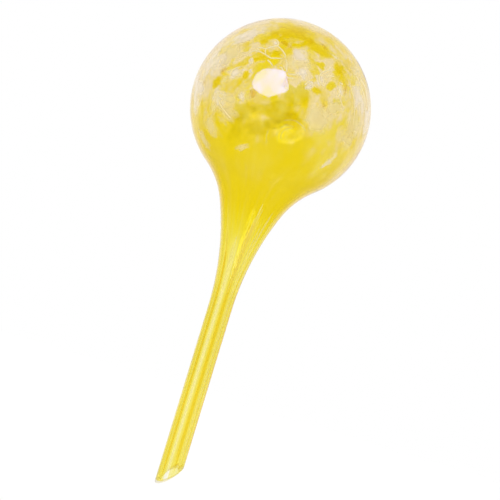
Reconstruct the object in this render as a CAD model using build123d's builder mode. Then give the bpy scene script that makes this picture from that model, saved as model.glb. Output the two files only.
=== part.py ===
from build123d import *
from dataclasses import dataclass
from math import atan2, cos, degrees, radians, sin, sqrt, tan
import os

# A hand-blown glass watering globe: a hollow ball drawn out into a long open stem.
# +Z runs up the stem's axis to the ball, and the origin lies on that axis, level with
# the stem's lowest point. The side that faces -Y is the front.
# The glass is one fused wall of layers, from the inside out: a clear first gather, a
# coloured layer (a yellow coat with white, cream and golden frit lying in it, drawn out
# to streaks along the stem) and a clear casing.

# Driving dimensions, in millimetres and degrees
overall_length = 240.0
globe_radius = 45.0
stem_radius = 6.0
bore_radius = 3.5
globe_wall = 2.0
shoulder_arc_radius = 40.0
draw_arc_radius = 137.0
arc_handover_angle = 21.8

# The layers of the wall, on the ball and on the stem
globe_casing = 0.9
stem_casing = 0.95
globe_colour = 0.35
stem_colour = 0.4

# The slanted end of the stem and its fire-polished lip
tip_cut_angle = 45.0
tip_turn_angle = 30.0
lip_round = 0.4

# One overrun serves every cut
overrun = 2.0

globe_centre_height = overall_length - globe_radius


@dataclass(frozen=True)
class GlassSurface:
    """One surface of revolution of the wall: a ball, two concave arcs and a tube."""

    ball: float
    tube: float

    @property
    def shoulder(self):
        """Radius of the concave arc beside the ball."""
        return shoulder_arc_radius + globe_radius - self.ball

    @property
    def draw(self):
        """Radius of the long concave arc that runs out into the tube."""
        return draw_arc_radius + stem_radius - self.tube

    @property
    def shoulder_centre(self):
        """Centre of the shoulder arc, as distance from the axis and height."""
        across = self.tube + self.draw - (self.draw - self.shoulder) * cos(radians(arc_handover_angle))
        below_ball = sqrt((self.ball + self.shoulder) ** 2 - across**2)
        return Vector(across, globe_centre_height - below_ball)

    @property
    def draw_centre(self):
        """Centre of the long arc, level with the top of the straight tube."""
        between = self.draw - self.shoulder
        drop = between * sin(radians(arc_handover_angle))
        return Vector(self.tube + self.draw, self.shoulder_centre.Y - drop)

    @property
    def ball_end_angle(self):
        """Angle below the ball's equator where the ball meets the shoulder arc."""
        centre = self.shoulder_centre
        return degrees(atan2(globe_centre_height - centre.Y, centre.X))


outside = GlassSurface(globe_radius, stem_radius)
under_casing = GlassSurface(globe_radius - globe_casing, stem_radius - stem_casing)
under_colour = GlassSurface(under_casing.ball - globe_colour, under_casing.tube - stem_colour)
inside = GlassSurface(globe_radius - globe_wall, bore_radius)

# The cut rises from the long front left side of the stem to its short back right side.
# It starts lower by what the lip's rounding takes off the long side.
lip_loss = lip_round * (1 / tan(radians(90 - tip_cut_angle) / 2) - 1)
cut_height = stem_radius * tan(radians(tip_cut_angle)) - lip_loss
cut_normal = Vector(0, 0, 1).rotate(Axis.Y, -tip_cut_angle).rotate(Axis.Z, tip_turn_angle)
cut_plane = Plane(origin=(0, 0, cut_height), z_dir=cut_normal)


def half_outline(surface):
    """Closed outline of half of what one glass surface encloses, with the axis as its left side."""
    with BuildLine() as outline:
        start_angle = 180 - arc_handover_angle
        ball_end = -surface.ball_end_angle
        ball = CenterArc((0, globe_centre_height), surface.ball, 90, ball_end - 90)
        CenterArc(
            surface.shoulder_centre, surface.shoulder, 180 + ball_end, start_angle - 180 - ball_end
        )
        draw = CenterArc(surface.draw_centre, surface.draw, start_angle, arc_handover_angle)
        tube = Line(draw @ 1, (surface.tube, -overrun))
        foot = Line(tube @ 1, (0, -overrun))
        Line(foot @ 1, ball @ 0)
    return outline.edges()


def layer_section(outer, inner):
    """Half section of the glass between two nested surfaces."""
    with BuildSketch(Plane.XZ) as section:
        make_face(half_outline(outer))
        make_face(half_outline(inner), mode=Mode.SUBTRACT)
    return section.sketch


# Frit flakes on the front of the ball. Each row is chosen by hand in shares of the ball's
# radius: place across and place up as seen from the front, width, height; and the turn in
# degrees.
white_flake_shares = [
    (0.06, 0.62, 0.25, 0.22, 20),
    (0.17, 0.45, 0.11, 0.10, 50),
    (0.21, 0.27, 0.20, 0.12, -25),
    (-0.48, 0.05, 0.14, 0.11, 10),
    (-0.68, -0.13, 0.14, 0.17, 15),
    (-0.57, 0.23, 0.17, 0.12, 30),
    (0.60, 0.38, 0.12, 0.16, -20),
    (0.36, 0.50, 0.13, 0.10, 15),
    (0.70, -0.43, 0.22, 0.08, 50),
    (-0.51, -0.29, 0.18, 0.06, -40),
    (-0.25, -0.52, 0.08, 0.05, 10),
    (-0.33, -0.67, 0.06, 0.06, 0),
    (0.84, 0.30, 0.16, 0.38, -15),
    (-0.93, 0.02, 0.20, 0.40, 10),
    (0.44, 0.73, 0.14, 0.10, -30),
]
cream_flake_shares = [
    (0.42, 0.01, 0.32, 0.33, 15),
    (0.67, 0.14, 0.17, 0.20, -10),
    (-0.69, 0.49, 0.30, 0.28, 40),
    (-0.34, 0.76, 0.30, 0.20, 20),
    (0.88, -0.14, 0.20, 0.28, -20),
]
golden_flake_shares = [
    (-0.02, 0.88, 0.40, 0.24, -5),
    (0.25, 0.78, 0.24, 0.16, -25),
    (0.55, 0.60, 0.18, 0.16, 30),
    (-0.79, 0.20, 0.14, 0.14, 60),
    (-0.84, -0.27, 0.12, 0.22, 10),
    (-0.35, 0.50, 0.24, 0.16, 15),
    (0.08, 0.04, 0.20, 0.22, 40),
    (-0.33, -0.14, 0.24, 0.15, -10),
    (0.42, 0.33, 0.15, 0.09, 5),
]

# The back of the ball carries its part of an even scatter over the whole ball: neighbours
# lie a golden section of a turn apart. Sizes are shares of the ball's radius, and the
# scatter leaves out the front and the shoulder.
scatter_count = 64
scatter_turn_share = 0.381966
scatter_front_share = 0.12
scatter_low_share = -0.70
scatter_width_share = 0.17
scatter_height_share = 0.13
scatter_spread_share = 0.45

# A flake's outline is a chip's: so many corners, moved in and out by a share of its half size
flake_corners = 9
flake_wave_share = 0.22

# Blanks for the flakes start inside the ball and end outside it
blank_foot = inside.ball - overrun
blank_height = globe_radius + overrun - blank_foot


@dataclass(frozen=True)
class Flake:
    """A chip of frit: its direction from the ball's centre, its size and its turn."""

    direction: Vector
    width: float
    height: float
    turn: float
    shape: int

    @property
    def plane(self):
        """Plane inside the ball that faces the flake, turned with it."""
        outward = Axis((0, 0, 0), self.direction)
        across = Vector(0, 0, 1).cross(self.direction).rotate(outward, self.turn)
        centre = Vector(0, 0, globe_centre_height) + self.direction.normalized() * blank_foot
        return Plane(origin=centre, x_dir=across, z_dir=self.direction)

    @property
    def corners(self):
        """Corners of the chip, on the flake's own plane."""
        points = []
        for step in range(flake_corners):
            around = radians(360 * step / flake_corners)
            wave = 1 + flake_wave_share * sin(2 * around + self.shape) * cos(around * 3 + self.shape * 2)
            points.append((self.width / 2 * wave * cos(around), self.height / 2 * wave * sin(around)))
        return points


def front_flakes(rows):
    """Flakes of the front, from hand-chosen shares."""
    flakes = []
    for number, (across, up, wide, high, turn) in enumerate(rows):
        towards = Vector(across, -sqrt(1 - across**2 - up**2), up)
        flakes.append(Flake(towards, wide * globe_radius, high * globe_radius, turn, number))
    return flakes


def back_flakes(first, step):
    """Every so many of the scatter's flakes, from the first on, that lie on the back."""
    flakes = []
    for number in range(first, scatter_count, step):
        up = 1 - 2 * (number + 0.5) / scatter_count
        around = 360 * scatter_turn_share * number
        towards = Vector(sqrt(1 - up**2), 0, up).rotate(Axis.Z, around)
        spread = 1 + scatter_spread_share * sin(number * number)
        wide = scatter_width_share * spread * globe_radius
        high = scatter_height_share / spread * globe_radius
        if towards.Y > scatter_front_share and up > scatter_low_share:
            flakes.append(Flake(towards, wide, high, around, number))
    return flakes


def flake_blanks(flakes):
    """Prisms through the wall, one for each flake."""
    with BuildPart() as blanks:
        for flake in flakes:
            with BuildSketch(flake.plane):
                with BuildLine():
                    Polyline(*flake.corners, close=True)
                make_face()
        extrude(amount=blank_height)
    return blanks.part


# Frit that was drawn out with the stem. Each row is chosen by hand: the place round the
# stem in turns, anticlockwise from the front as seen from above; the top as a share of the
# way from the straight stem to the ball's centre; the width as a share of the stem's radius.
white_streak_shares = [
    (0.975, 0.36, 0.34),
    (0.13, 0.52, 0.22),
    (0.36, 0.44, 0.30),
    (0.57, 0.34, 0.26),
    (0.78, 0.42, 0.24),
]
golden_streak_shares = [
    (0.055, 0.48, 0.24),
    (0.24, 0.38, 0.28),
    (0.46, 0.46, 0.30),
    (0.68, 0.40, 0.28),
    (0.89, 0.30, 0.28),
]

# A streak widens up the neck to so many times its width, at a share of the way to its top
streak_swell = 1.4
streak_swell_share = 0.6


def streak_blanks(rows):
    """Blades from the bore outwards: as wide as the streaks, and rounded off at the top."""
    neck_foot = outside.draw_centre.Y
    with BuildPart() as blades:
        for turn, top_share, width_share in rows:
            half_width = width_share * stem_radius / 2
            rise = top_share * (globe_centre_height - neck_foot)
            swell_height = neck_foot + rise * streak_swell_share
            towards = Vector(0, -1, 0).rotate(Axis.Z, 360 * turn)
            across = Vector(0, 0, 1).cross(towards)
            with BuildSketch(Plane(origin=towards * bore_radius, x_dir=across, z_dir=towards)):
                with BuildLine():
                    foot = Line((-half_width, -overrun), (half_width, -overrun))
                    side = Line(foot @ 1, (half_width, neck_foot))
                    crown = Spline(
                        side @ 1,
                        (half_width * streak_swell, swell_height),
                        (0, neck_foot + rise),
                        (-half_width * streak_swell, swell_height),
                        (-half_width, neck_foot),
                        tangents=[(0, 1), (0, -1)],
                    )
                    Line(crown @ 1, foot @ 0)
                make_face()
        extrude(amount=globe_radius)
    return blades.part


os.makedirs("parts", exist_ok=True)

# First gather: the clear wall that holds the water and ends in the bore's polished lip
with BuildPart() as inner_gather:
    revolve(layer_section(under_colour, inside), axis=Axis.Z)
    split(bisect_by=cut_plane, keep=Keep.TOP)
    cut_face = inner_gather.faces().filter_by(cut_plane).sort_by(Axis.Z)[0]
    bore_edge = cut_face.edges().sort_by(SortBy.LENGTH)[0]
    fillet(bore_edge, radius=lip_round)
inner_gather.part.label = "inner_gather"
export_step(inner_gather.part, "parts/inner_gather.step")

# Outer casing: the clear skin over the colour, with the lip's outer edge polished round
with BuildPart() as outer_casing:
    revolve(layer_section(outside, under_casing), axis=Axis.Z)
    split(bisect_by=cut_plane, keep=Keep.TOP)
    cut_face = outer_casing.faces().filter_by(cut_plane).sort_by(Axis.Z)[0]
    lip_edge = cut_face.edges().sort_by(SortBy.LENGTH)[-1]
    fillet(lip_edge, radius=lip_round)
outer_casing.part.label = "outer_casing"
export_step(outer_casing.part, "parts/outer_casing.step")

# The coloured layer, which the yellow coat, the frit and the streaks share out
with BuildPart() as coloured_layer:
    revolve(layer_section(under_casing, under_colour), axis=Axis.Z)
    split(bisect_by=cut_plane, keep=Keep.TOP)

blanks = {
    "white_frit": flake_blanks(front_flakes(white_flake_shares) + back_flakes(0, 3)),
    "cream_frit": flake_blanks(front_flakes(cream_flake_shares) + back_flakes(1, 3)),
    "golden_frit": flake_blanks(front_flakes(golden_flake_shares) + back_flakes(2, 3)),
    "white_streaks": streak_blanks(white_streak_shares),
    "golden_streaks": streak_blanks(golden_streak_shares),
}

# Frit and streaks: each colour fills its blanks inside the coloured layer
for label, blank in blanks.items():
    with BuildPart() as inlay:
        add(blank)
        add(coloured_layer.part, mode=Mode.INTERSECT)
    inlay.part.label = label
    export_step(inlay.part, f"parts/{label}.step")

# Yellow coat: the rest of the coloured layer, with a pocket for each flake and streak
with BuildPart() as yellow_coat:
    add(coloured_layer.part)
    for blank in blanks.values():
        add(blank, mode=Mode.SUBTRACT)
yellow_coat.part.label = "yellow_coat"
export_step(yellow_coat.part, "parts/yellow_coat.step")
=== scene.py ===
"""Glass watering globe: the glass that shows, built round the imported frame.

Lengths are in metres in the part's own frame: +Z runs up the stem's axis to the ball and
-Y is the front. Shares and colours have no unit. Angles are in degrees, but those that a
function takes as turns round the axis are in radians.
"""

import logging
from dataclasses import dataclass
from enum import Enum

import bpy
import numpy as np
from mathutils import Matrix, Vector


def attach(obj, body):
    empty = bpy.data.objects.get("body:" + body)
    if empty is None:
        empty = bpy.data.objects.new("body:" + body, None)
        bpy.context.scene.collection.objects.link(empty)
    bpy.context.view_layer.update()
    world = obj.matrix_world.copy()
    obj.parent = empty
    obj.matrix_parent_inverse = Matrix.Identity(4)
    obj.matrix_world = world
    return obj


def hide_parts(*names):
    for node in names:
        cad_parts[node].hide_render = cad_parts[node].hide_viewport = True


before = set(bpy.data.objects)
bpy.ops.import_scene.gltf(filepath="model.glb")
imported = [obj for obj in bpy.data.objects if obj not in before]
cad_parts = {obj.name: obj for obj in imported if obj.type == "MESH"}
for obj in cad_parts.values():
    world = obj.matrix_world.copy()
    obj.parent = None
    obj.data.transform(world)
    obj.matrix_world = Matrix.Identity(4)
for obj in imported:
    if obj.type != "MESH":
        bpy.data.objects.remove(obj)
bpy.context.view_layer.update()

log = logging.getLogger("watering_globe")

Array = np.ndarray
Point = tuple[float, float, float]
Colour = tuple[float, float, float]
Band = tuple[float, float]
Pixel = tuple[float, float]
Socket = bpy.types.NodeSocket
Node = bpy.types.Node

BODY = "root"
MELT = "melt"
DEPTH = "depth"
SPREAD = "spread"
LIP = "lip"
ALL_LIGHT: Colour = (1.0, 1.0, 1.0)
FRONT_TURN = -np.pi / 2
OUTLINE_STEPS = 100
STEP_KNOTS = ("From Min", "From Max", "To Min", "To Max")


@dataclass(frozen=True)
class GlobeForm:
    """Sizes that every layer of the glass shares."""

    length: float = 0.240
    globe_radius: float = 0.045
    stem_radius: float = 0.006
    shoulder_radius: float = 0.040
    draw_radius: float = 0.137
    handover_angle: float = 21.8
    cut_turn: float = 30.0
    cut_rise: float = 0.0058
    draw_power: float = 1.8

    @property
    def centre_height(self) -> float:
        """Height of the ball's centre."""
        return self.length - self.globe_radius

    @property
    def centre(self) -> Array:
        """The ball's centre."""
        return np.array([0.0, 0.0, self.centre_height])

    def cut_height(self, across: Array, turns: Array) -> Array:
        """Height of the cut, a plane at 45 degrees that falls towards the front left."""
        return self.cut_rise + across * np.cos(turns - np.radians(self.cut_turn))


def turned(reach: Array, turns: Array, height: Array) -> Array:
    """Points by their distance from the axis, their angle round it and their height."""
    return np.stack(np.broadcast_arrays(reach * np.cos(turns), reach * np.sin(turns), height), axis=-1)


def circle(around: int) -> Array:
    """Evenly spaced angles round the axis."""
    return np.linspace(0.0, 2 * np.pi, around, endpoint=False)


def unit(vectors: Array) -> Array:
    """The same directions, with length 1."""
    return vectors / np.linalg.norm(vectors, axis=-1, keepdims=True)


def tapered(share: Array, power: int) -> Array:
    """Share of the full width along a strip: (1 - (2 t - 1) ** power) ** 0.5."""
    return (1.0 - (2.0 * share - 1.0) ** power) ** 0.5


@dataclass(frozen=True)
class LayerSurface:
    """One surface of revolution in the wall, at its own depth on the ball and the stem."""

    form: GlobeForm
    ball_depth: float = 0.0
    stem_depth: float = 0.0

    @property
    def ball(self) -> float:
        """Radius on the ball."""
        return self.form.globe_radius - self.ball_depth

    @property
    def tube(self) -> float:
        """Radius on the stem."""
        return self.form.stem_radius - self.stem_depth

    @property
    def shoulder(self) -> float:
        """Radius of the concave arc beside the ball."""
        return self.form.shoulder_radius + self.ball_depth

    @property
    def draw(self) -> float:
        """Radius of the long concave arc that runs out into the stem."""
        return self.form.draw_radius + self.stem_depth

    @property
    def shoulder_centre(self) -> tuple[float, float]:
        """Centre of the shoulder arc, which touches the ball's arc and the draw's.

        Returns:
            Its distance from the axis and its height.
        """
        lean = np.radians(self.form.handover_angle)
        across = self.tube + self.draw - (self.draw - self.shoulder) * np.cos(lean)
        below = np.sqrt((self.ball + self.shoulder) ** 2 - across**2)
        return across, self.form.centre_height - below

    @property
    def tube_top(self) -> float:
        """Height where the straight stem begins."""
        lean = np.radians(self.form.handover_angle)
        return self.shoulder_centre[1] - (self.draw - self.shoulder) * np.sin(lean)

    def profile(self, step: float) -> tuple[Array, Array]:
        """Outline from the pole to the top of the straight stem.

        It is three arcs end to end: the ball's from its pole to the shoulder, the
        shoulder's, bent the other way, and the draw's. Each is cut into equal steps.

        Args:
            step: Longest step along the outline.

        Returns:
            Distances from the axis and heights, without the pole itself.
        """
        across, height = self.shoulder_centre
        low = np.arctan2(self.form.centre_height - height, across)
        lean = np.radians(self.form.handover_angle)
        arcs = (
            (0.0, self.form.centre_height, self.ball, np.pi / 2, -low),
            (across, height, self.shoulder, np.pi - low, np.pi - lean),
            (self.tube + self.draw, self.tube_top, self.draw, np.pi - lean, np.pi),
        )
        runs = []
        for x, z, radius, start, end in arcs:
            count = int(np.ceil(abs(end - start) * radius / step))
            turn = np.linspace(start, end, count + 1)[1:]
            runs.append(np.stack([x + radius * np.cos(turn), z + radius * np.sin(turn)]))
        across, height = np.concatenate(runs, axis=1)
        return across, height

    def rings(self, turns: Array, step: float, stem_rings: int, end_lift: float = 0.0) -> Array:
        """Rings of the surface, from beside the pole down to the cut.

        The outline is turned round the axis. On the straight stem the rings tilt little
        by little, so that the last one lies along the cut.

        Args:
            turns: Angles round the axis.
            step: Longest step along the outline.
            stem_rings: Rings on the straight stem.
            end_lift: How far above the cut the last ring stays.

        Returns:
            Points by ring and turn.
        """
        across, height = self.profile(step)
        upper = turned(across[:, None], turns, height[:, None])
        share = np.linspace(0.0, 1.0, stem_rings + 1)[1:, None]
        end = self.form.cut_height(self.tube, turns) + end_lift
        fall = self.tube_top + share * (end - self.tube_top)
        return np.concatenate([upper, turned(self.tube, turns, fall)])

    def pole(self) -> Array:
        """Top point of the ball."""
        return np.array([0.0, 0.0, self.form.centre_height + self.ball])


def melt_place(form: GlobeForm, points: Array) -> Array:
    """Place of each point in the glass before the stem was drawn out.

    Above the ball's middle it is the direction from the centre. Below it is the direction
    round the axis, with a height that grows by (r / R) to draw_power along the outline, so
    that a round patch there becomes a long streak further down.

    Args:
        form: Sizes of the globe.
        points: Points of the glass.

    Returns:
        One vector for each point, in ball radii.
    """
    skin = LayerSurface(form)
    across, height = skin.profile(form.globe_radius / OUTLINE_STEPS)
    across = np.append(across, skin.tube)
    height = np.append(height, 0.0)
    steps = np.hypot(np.diff(across), np.diff(height))
    shrink = (0.5 * (across[1:] + across[:-1]) / form.globe_radius) ** form.draw_power
    along = np.concatenate([[0.0], np.cumsum(steps * shrink)]) / form.globe_radius
    along -= np.interp(form.centre_height, height[::-1], along[::-1])
    offset = points - form.centre
    direction = unit(offset)
    turn = np.arctan2(offset[..., 1], offset[..., 0])
    drop = -np.interp(points[..., 2], height[::-1], along[::-1])
    drawn = np.stack([np.cos(turn), np.sin(turn), drop], axis=-1)
    return np.where(offset[..., 2:] >= 0, direction, drawn)


def skin_faces(skins: int, rings: int, around: int) -> Array:
    """Corner numbers of closed skins, as quads and as pole triangles with a repeated corner.

    A skin's points are its rings one after another, then its first and its last pole. Quads
    join ring to ring, and a fan closes each end.

    Args:
        skins: How many skins.
        rings: Rings of each skin.
        around: Points of each ring.

    Returns:
        Faces of four corners. A triangle repeats its last corner.
    """
    here = np.arange(around)
    after = (here + 1) % around
    row = np.arange(rings - 1)[:, None] * around
    quads = np.stack([row + here, row + around + here, row + around + after, row + after], axis=-1)
    first = np.full(around, rings * around)
    last_row = (rings - 1) * around
    top = np.stack([first, here, after, after], axis=-1)
    foot = np.stack([first + 1, last_row + after, last_row + here, last_row + here], axis=-1)
    one = np.concatenate([quads.reshape(-1, 4), top, foot])
    shift = np.arange(skins)[:, None, None] * (rings * around + 2)
    return (one + shift).reshape(-1, 4)


def placed(name: str, data: bpy.types.ID) -> bpy.types.Object:
    """Puts new data into the scene.

    Args:
        name: Name of the object.
        data: Its mesh or lamp.

    Returns:
        The new object, at the origin.
    """
    item = bpy.data.objects.new(name, data)
    bpy.context.scene.collection.objects.link(item)
    return item


def skin_points(rings: Array, poles: Array) -> Array:
    """Points of closed skins, by skin: the rings' and then the two poles."""
    return np.concatenate([rings.reshape(len(rings), -1, 3), poles], axis=1)


def closed_skins(name: str, rings: Array, poles: Array, marks: dict[str, Array]) -> bpy.types.Object:
    """Makes one object of closed skins.

    Args:
        name: Name of the piece.
        rings: Points by skin, ring and place in the ring.
        poles: First and last pole of each skin.
        marks: Values for the points, by name, given by skin in the order of the points.

    Returns:
        The new object, smooth and at the origin.
    """
    skins, count, around, _ = rings.shape
    points = skin_points(rings, poles).reshape(-1, 3)
    faces = skin_faces(skins, count, around)
    triangle = faces[:, 2] == faces[:, 3]
    sizes = np.where(triangle, 3, 4)
    corners = faces[~(triangle[:, None] & (np.arange(4) == 3))]
    mesh = bpy.data.meshes.new(name)
    mesh.vertices.add(len(points))
    mesh.vertices.foreach_set("co", points.astype(np.float32).ravel())
    mesh.loops.add(len(corners))
    mesh.loops.foreach_set("vertex_index", corners.astype(np.int32))
    mesh.polygons.add(len(faces))
    mesh.polygons.foreach_set("loop_start", (np.cumsum(sizes) - sizes).astype(np.int32))
    mesh.polygons.foreach_set("use_smooth", np.ones(len(faces), dtype=bool))
    mesh.update(calc_edges=True)
    for mark, values in marks.items():
        kind, field = ("FLOAT_VECTOR", "vector") if values.shape[-1] == 3 else ("FLOAT", "value")
        layer = mesh.attributes.new(mark, kind, "POINT")
        layer.data.foreach_set(field, values.astype(np.float32).ravel())
    return placed(name, mesh)


def stand_in(piece: bpy.types.Object, slot: str, *nodes: str) -> None:
    """Rides the piece on the body, in place of CAD nodes, and reports it.

    Args:
        piece: The piece.
        slot: The record's material slot; not used.
        nodes: Nodes that it stands for.
    """
    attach(piece, BODY)
    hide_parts(*nodes)
    log.info("%s stands for %s, %d faces", piece.name, ", ".join(nodes), len(piece.data.polygons))


class NodeGraph:
    """A node tree, with short ways to say what the glass and its light need."""

    def __init__(self, tree: bpy.types.NodeTree) -> None:
        """Takes up the tree of a material, a lamp or the world."""
        self.nodes = tree.nodes
        self.links = tree.links

    def put(self, target: Socket, value: object) -> None:
        """Links a socket's source, or sets its value.

        Args:
            target: An input.
            value: A socket to link from, or a value.
        """
        if isinstance(value, bpy.types.NodeSocket):
            self.links.new(value, target)
        elif isinstance(value, tuple) and len(value) == 3 and target.type == "RGBA":
            target.default_value = (*value, 1.0)
        else:
            target.default_value = value

    def add(self, kind: str, settings: dict[str, object] | None = None, *values: object,
            **inputs: object) -> Node:
        """Adds a node.

        Args:
            kind: Its type, without the common beginning.
            settings: Properties of the node.
            values: Values or sources of its first inputs, in their order.
            inputs: Values or sources by input name, with _ for a space.

        Returns:
            The node.
        """
        node = self.nodes.new("ShaderNode" + kind)
        for key, value in (settings or {}).items():
            setattr(node, key, value)
        for place, value in enumerate(values):
            self.put(node.inputs[place], value)
        for key, value in inputs.items():
            self.put(node.inputs[key.replace("_", " ")], value)
        return node

    def maths(self, how: str, *values: object, clamp: bool = False) -> Socket:
        """Result of a Math node."""
        return self.add("Math", {"operation": how, "use_clamp": clamp}, *values).outputs[0]

    def times(self, first: object, second: object) -> Socket:
        """Product of two numbers."""
        return self.maths("MULTIPLY", first, second)

    def weighed(self, *pairs: tuple[object, object]) -> Socket:
        """Sum of products.

        Args:
            pairs: The two factors of each product.

        Returns:
            The sum.
        """
        total, *others = (self.times(*pair) for pair in pairs)
        for other in others:
            total = self.maths("ADD", total, other)
        return total

    def vector(self, how: str, *values: object) -> Socket:
        """Result of a Vector Math node."""
        return self.add("VectorMath", {"operation": how}, *values).outputs[0]

    def scaled(self, source: Socket, factor: object) -> Socket:
        """A vector times a number."""
        return self.add("VectorMath", {"operation": "SCALE"}, Vector=source, Scale=factor).outputs[0]

    def measure(self, how: str, first: Socket, second: Point) -> Socket:
        """Number that a Vector Math node gives."""
        return self.add("VectorMath", {"operation": how}, first, second).outputs["Value"]

    def ramp(self, value: Socket, *knots: object, kind: str = "LINEAR") -> Socket:
        """A step from low to high as the value goes from start to end.

        Args:
            value: The value.
            knots: Start and end of the value, and the low and high that they give.
            kind: Shape of the step.

        Returns:
            The result.
        """
        node = self.add("MapRange", {"interpolation_type": kind}, Value=value)
        for place, knot in zip(STEP_KNOTS, knots):
            self.put(node.inputs[place], knot)
        return node.outputs[0]

    def ease(self, value: Socket, *knots: object) -> Socket:
        """The same step with smooth ends, from 0 to 1 unless low and high are given."""
        return self.ramp(value, *knots, kind="SMOOTHSTEP")

    def mark(self, name: str) -> Node:
        """The node that reads a mesh attribute."""
        return self.add("Attribute", {"attribute_name": name})

    def noise(self, place: Socket, scale: float, detail: float = 2.0, rough: float = 0.5) -> Node:
        """A noise texture."""
        return self.add("TexNoise", Vector=place, Scale=scale, Detail=detail, Roughness=rough)

    def cells(self, place: Socket, scale: float, feature: str = "F1") -> Node:
        """A cell texture."""
        return self.add("TexVoronoi", {"feature": feature}, Vector=place, Scale=scale)

    def tint(self, factor: object, first: object, second: object) -> Socket:
        """Two colours blended.

        Args:
            factor: Share of the second colour.
            first: The colour at 0.
            second: The colour at 1.

        Returns:
            The blend.
        """
        node = self.add("Mix", {"data_type": "RGBA"})
        for place, value in ((0, factor), (6, first), (7, second)):
            self.put(node.inputs[place], value)
        return node.outputs[2]

    def blend(self, factor: object, first: Socket, second: Socket) -> Socket:
        """Two shaders mixed."""
        return self.add("MixShader", None, factor, first, second).outputs[0]

    def milk(self, colour: object, through: object = 0.5) -> Socket:
        """Cloudy glass: light scattered back and light let through, both in one colour.

        Args:
            colour: The colour.
            through: Share of the light that is let through.

        Returns:
            The shader.
        """
        front = self.add("BsdfDiffuse", Color=colour).outputs[0]
        back = self.add("BsdfTranslucent", Color=colour).outputs[0]
        return self.blend(through, front, back)


class Recipe(NodeGraph):
    """The node tree of one finish."""

    def __init__(self, name: str) -> None:
        """Starts an empty material.

        Args:
            name: Name of the material.
        """
        self.material = bpy.data.materials.new(name)
        self.material.use_nodes = True
        super().__init__(self.material.node_tree)
        self.nodes.clear()
        self.output = self.add("OutputMaterial")

    def finish(self, shader: Socket, mesh: bpy.types.Mesh) -> None:
        """Joins the shader to the output and gives the mesh the material."""
        self.links.new(shader, self.output.inputs["Surface"])
        mesh.materials.append(self.material)


@dataclass(frozen=True)
class ClearGlass:
    """The fused wall: clear and glossy, beige where it is seen edge on, cloudy at the lip."""

    index: float = 1.5
    lip_colour: Colour = (1.0, 0.96, 0.80)
    lip_cover: float = 0.92
    straight_tint: Colour = (0.98, 0.98, 0.97)
    edge_colour: Colour = (0.30, 0.26, 0.14)
    edge_density: float = 9.0
    relief_scale: float = 150.0
    relief_height: float = 0.00004
    relief_band: Band = (0.135, 0.165)

    def dress(self, piece: bpy.types.Object) -> None:
        """Gives the piece this finish.

        The ball is a little uneven. Light that falls on the frit, and light that misses
        the shadow, pass straight through the wall.

        Args:
            piece: The clear wall.
        """
        recipe = Recipe("clear_glass")
        place = recipe.add("TexCoord").outputs["Object"]
        height = recipe.add("SeparateXYZ", Vector=place).outputs["Z"]
        ripple = recipe.noise(place, self.relief_scale, 1.0).outputs[0]
        ripple = recipe.times(ripple, recipe.ease(height, *self.relief_band))
        bump = recipe.add("Bump", Height=ripple, Distance=self.relief_height, Strength=1.0)
        glass = recipe.add("BsdfPrincipled", Base_Color=ALL_LIGHT, Roughness=0.0, IOR=self.index,
                           Transmission_Weight=1.0, Normal=bump.outputs[0])
        body = recipe.add("VolumeAbsorption", Color=self.edge_colour, Density=self.edge_density)
        recipe.links.new(body.outputs[0], recipe.output.inputs["Volume"])
        lip = recipe.times(recipe.mark(LIP).outputs["Fac"], self.lip_cover)
        surface = recipe.blend(lip, glass.outputs[0], recipe.milk(self.lip_colour))
        path = recipe.add("LightPath").outputs
        straight = recipe.maths("MAXIMUM", path["Is Shadow Ray"], path["Is Diffuse Ray"])
        clear = recipe.add("BsdfTransparent", Color=self.straight_tint).outputs[0]
        recipe.finish(recipe.blend(straight, surface, clear), piece.data)


@dataclass(frozen=True)
class Zone:
    """A broad part of the coat that is paler, or deeper where the gain is negative."""

    melt: Point
    reach: float
    gain: float
    outer_share: float = 1.3
    inner_share: float = 0.5

    def add_to(self, recipe: NodeGraph, place: Socket, start: Socket) -> Socket:
        """Changes a value by the gain, which fades out over the reach.

        Args:
            recipe: Nodes of the finish.
            place: Place in the melt.
            start: The value.

        Returns:
            The changed value.
        """
        away = recipe.measure("DISTANCE", place, self.melt)
        outer, inner = self.reach * self.outer_share, self.reach * self.inner_share
        gain = recipe.ease(away, outer, inner, 0.0, self.gain)
        return recipe.maths("ADD", start, gain, clamp=True)


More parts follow.
